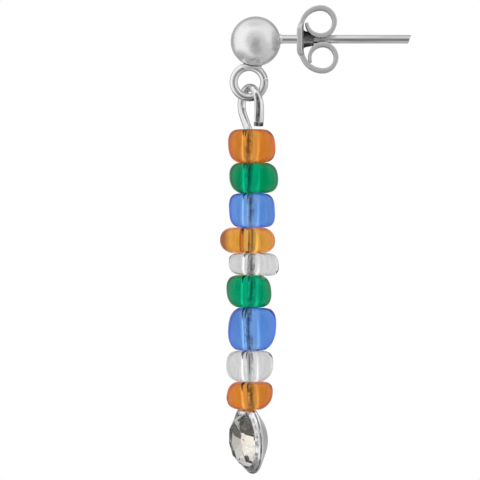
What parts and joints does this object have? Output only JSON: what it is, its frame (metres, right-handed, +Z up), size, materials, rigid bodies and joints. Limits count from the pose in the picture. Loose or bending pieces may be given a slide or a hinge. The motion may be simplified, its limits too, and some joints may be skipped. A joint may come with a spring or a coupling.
{
  "type": "drop earring",
  "caption": "Drop earring: a ball stud with post and butterfly clutch carries a wire pin of coloured glass beads that ends in a bezel-set round crystal.",
  "frame": {"origin": "on the axis of the ear post, where the post leaves the back of the ball and the ear lobe begins", "axes": "+Z up, +Y back along the ear post, the beads hang down along -Z, the ball and ring lie in the YZ plane"},
  "size_m": [0.0053, 0.0152, 0.0375],
  "materials": {
    "polished_silver": "silver plate, barrel polished",
    "stamped_silver": "silver-plated spring strip, stamped and rolled",
    "cut_crystal": "cut lead-free crystal, silver foil behind",
    "glass_orange": "wound glass, fire polished",
    "glass_green": "wound glass, fire polished",
    "glass_blue": "wound glass, fire polished",
    "glass_amber": "wound glass, fire polished",
    "glass_clear": "wound glass, fire polished"
  },
  "bodies": {
    "stud": {"stud": "polished_silver"},
    "clutch": {"clutch": "stamped_silver"},
    "drop": {"drop_pin": "polished_silver", "crystal": "cut_crystal", "bead_1": "glass_orange", "bead_2": "glass_green", "bead_3": "glass_blue", "bead_4": "glass_amber", "bead_5": "glass_clear", "bead_6": "glass_green", "bead_7": "glass_blue", "bead_8": "glass_clear", "bead_9": "glass_orange"}
  },
  "joints": [
    {"name": "drop_swing", "type": "hinge", "parent": "stud", "child": "drop", "pos_m": [0, -0.00253, -0.00466], "axis": [0, 1, 0], "range_deg": [-25, 35]},
    {"name": "clutch_slide", "type": "slide", "parent": "stud", "child": "clutch", "axis": [0, 1, 0], "range_m": [-0.0014, 0.0092]}
  ]
}
